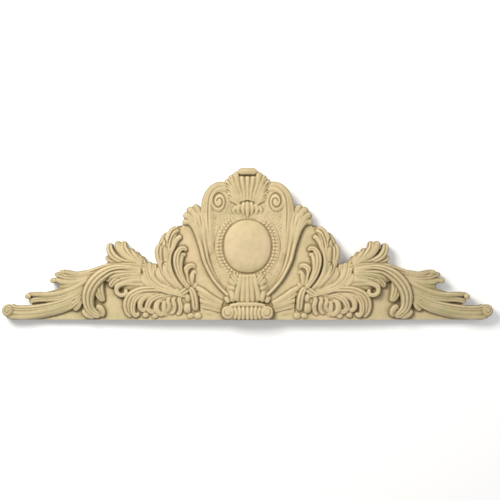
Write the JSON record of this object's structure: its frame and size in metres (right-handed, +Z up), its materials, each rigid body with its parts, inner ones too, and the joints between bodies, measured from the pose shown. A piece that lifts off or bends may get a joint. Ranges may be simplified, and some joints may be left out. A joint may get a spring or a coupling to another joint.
{
  "type": "overdoor ornament",
  "caption": "Wide carved rococo overdoor relief with a shell crest, volutes, a plain raised oval in a beaded shield, a scroll block and long leaf wings on a flat board.",
  "frame": {"origin": "on the flat back, on the centre line, at half the height", "axes": "+Z up, +X along the length, the carving faces -Y and the flat back lies in the plane y = 0"},
  "size_m": [1.47, 0.072, 0.453],
  "materials": {
    "cast_stone": "matt cream cast stone with brown antiquing in the recesses"
  },
  "bodies": {
    "root": {"overdoor_ornament": "cast_stone"}
  },
  "joints": []
}
